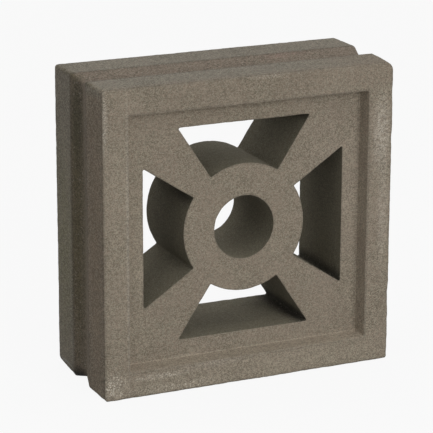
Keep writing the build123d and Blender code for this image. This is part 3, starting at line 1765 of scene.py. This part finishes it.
@dataclass(frozen=True)
class PhotoCamera:
    """Camera at the viewing angle of the photograph.

    Attributes:
        focal_pixels: Focal length in pixels of the photograph.
        turn: Angle of view round the block, in degrees.
        tilt: Angle of view downwards, in degrees.
        roll: Roll about the line of sight, in degrees.
        offset: Place of the front face's middle in the camera's frame, in block sides.
        clip: Nearest and furthest distance that it sees, in metres.
    """

    focal_pixels: float = 2276.0
    turn: float = 24.72
    tilt: float = 16.62
    roll: float = 0.19
    offset: Triple = (0.10846, -0.04588, 7.15641)
    clip: Pair = (0.01, 50.0)

    def place(self, sizes: BlockSizes) -> None:
        """Makes the camera and sets it as the scene's camera.

        Args:
            sizes: Sizes of the block.
        """
        turn, tilt, roll = (math.radians(a) for a in (self.turn, self.tilt, self.roll))
        ahead = Vector(
            (math.sin(turn) * math.cos(tilt), math.cos(turn) * math.cos(tilt), -math.sin(tilt))
        )
        level = Vector((math.cos(turn), -math.sin(turn), 0.0))
        upright = level.cross(ahead)
        right = math.cos(roll) * level + math.sin(roll) * upright
        up = -math.sin(roll) * level + math.cos(roll) * upright
        side = sizes.side * MM
        target = Vector((0.0, -sizes.front * MM, sizes.half_side * MM))
        across, above, away = self.offset
        position = target - side * (across * right + above * up + away * ahead)
        data = bpy.data.cameras.new("photo_camera")
        data.sensor_width = SENSOR_WIDTH
        data.lens = self.focal_pixels / IMAGE_SIDE * SENSOR_WIDTH
        data.clip_start, data.clip_end = self.clip
        camera = bpy.data.objects.new("photo_camera", data)
        bpy.context.scene.collection.objects.link(camera)
        turned = Matrix((right, up, -ahead)).transposed()
        camera.matrix_world = Matrix.Translation(position) @ turned.to_4x4()
        bpy.context.scene.camera = camera


@dataclass(frozen=True)
class SkyGlow:
    """Soft light from one side of the sky.

    Attributes:
        heading: Direction that it comes from.
        strength: Its strength in that direction.
    """

    heading: Triple
    strength: float


@dataclass(frozen=True)
class Studio:
    """Pale floor and soft light.

    Attributes:
        floor_half: Half the side of the floor, in metres.
        floor_colour: Colour of the floor.
        shown_share: Share of the floor's own brightness where the camera sees it.
        shown_strength: That brightness.
        backdrop_strength: Brightness of what lies beyond the floor.
        world_strength: Strength of the light from all round.
        glows: Soft light from above, from both sides and from behind.
        glow_falloff: Power of the cosine with which a glow falls off.
        key_aim: Point that the main light shines at.
        key_from: Direction that the main light comes from.
        key_distance: Distance of the main light from that point, in metres.
        key_size: Side of the main light, in metres.
        key_power: Power of the main light, in watts.
    """

    floor_half: float = 6.0
    floor_colour: Colour = rgb(0.3, 0.3, 0.3)
    shown_share: float = 0.9
    shown_strength: float = 1.02
    backdrop_strength: float = 0.945
    world_strength: float = 0.11
    glows: tuple[SkyGlow, ...] = (
        SkyGlow((0.0, 0.0, 1.0), 1.03),
        SkyGlow((-1.0, 0.0, 0.0), 0.42),
        SkyGlow((1.0, 0.0, 0.0), 0.25),
        SkyGlow((0.0, 1.0, 0.0), 0.6),
    )
    glow_falloff: float = 2.0
    key_aim: Triple = (0.0, 0.0, 0.1)
    key_from: Triple = (0.15, -0.94, 0.27)
    key_distance: float = 2.2
    key_size: float = 1.3
    key_power: float = 40.4

    def seen(self, sheet: NodeSheet) -> bpy.types.NodeSocket:
        """Marks rays that show the floor or the world itself, not their light on the block.

        Args:
            sheet: The sheet of the floor's or the world's tree.

        Returns:
            1 for such rays and 0 for others.
        """
        rays = sheet.add("ShaderNodeLightPath").outputs
        glossy = sheet.math("MAXIMUM", rays["Is Glossy Ray"], rays["Is Transmission Ray"])
        return sheet.math("MAXIMUM", rays["Is Camera Ray"], glossy)

    def glow(self, sheet: NodeSheet) -> bpy.types.NodeSocket:
        """Adds up the light of the sky in each direction.

        Args:
            sheet: The sheet of the world's tree.

        Returns:
            The light's strength.
        """
        heading = sheet.add("ShaderNodeTexCoord").outputs["Generated"]
        total = self.world_strength
        for glow in self.glows:
            facing = sheet.math("MAXIMUM", sheet.vector("DOT_PRODUCT", heading, glow.heading), 0.0)
            share = sheet.math("POWER", facing, self.glow_falloff)
            total = sheet.math("ADD", total, sheet.math("MULTIPLY", share, glow.strength))
        return total

    def lay_floor(self) -> None:
        """Lays the floor."""
        material = bpy.data.materials.new("pale_floor")
        material.use_nodes = True
        sheet = NodeSheet(material.node_tree)
        sheet.tree.nodes.clear()
        matt = sheet.add("ShaderNodeBsdfDiffuse")
        sheet.fill(matt, color=self.floor_colour)
        shown = sheet.add("ShaderNodeEmission")
        sheet.fill(shown, strength=self.shown_strength)
        mixed = sheet.add("ShaderNodeMixShader")
        sheet.feed(mixed.inputs[0], sheet.math("MULTIPLY", self.seen(sheet), self.shown_share))
        sheet.feed(mixed.inputs[1], matt.outputs[0])
        sheet.feed(mixed.inputs[2], shown.outputs[0])
        output = sheet.add("ShaderNodeOutputMaterial")
        sheet.fill(output, surface=mixed.outputs[0])
        half = self.floor_half
        mesh = bpy.data.meshes.new("pale_floor")
        corners = [(-half, -half, 0), (half, -half, 0), (half, half, 0), (-half, half, 0)]
        mesh.from_pydata(corners, [], [(0, 1, 2, 3)])
        mesh.materials.append(material)
        floor = bpy.data.objects.new("pale_floor", mesh)
        bpy.context.scene.collection.objects.link(floor)

    def light(self) -> None:
        """Sets the world and the main light."""
        world = bpy.data.worlds.new("soft_world")
        bpy.context.scene.world = world
        world.use_nodes = True
        sheet = NodeSheet(world.node_tree)
        seen = self.seen(sheet)
        shown = sheet.math("MULTIPLY", seen, self.backdrop_strength)
        lit = sheet.math("MULTIPLY", sheet.math("SUBTRACT", 1.0, seen), self.glow(sheet))
        ground = sheet.tree.nodes["Background"]
        sheet.fill(ground, color=WHITE, strength=sheet.math("ADD", shown, lit))
        heading = Vector(self.key_from).normalized()
        lamp = bpy.data.lights.new("key_light", "AREA")
        lamp.shape = "SQUARE"
        lamp.size = self.key_size
        lamp.energy = self.key_power
        key = bpy.data.objects.new("key_light", lamp)
        bpy.context.scene.collection.objects.link(key)
        key.location = Vector(self.key_aim) + heading * self.key_distance
        key.rotation_euler = heading.to_track_quat("Z", "Y").to_euler()


def main() -> None:
    """Builds the block, its stage and its camera."""
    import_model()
    sizes = BlockSizes()
    PhotoCamera().place(sizes)
    studio = Studio()
    studio.lay_floor()
    studio.light()
    bpy.context.scene.view_settings.view_transform = "Standard"
    block = CastBlock(sizes)
    piece = block.build(BlockFinishes(CastEffects()))
    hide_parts("breeze_block")
    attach(piece, "root")
    log.info("%s rides on the root body", piece.name)


if __name__ == "__main__":
    main()
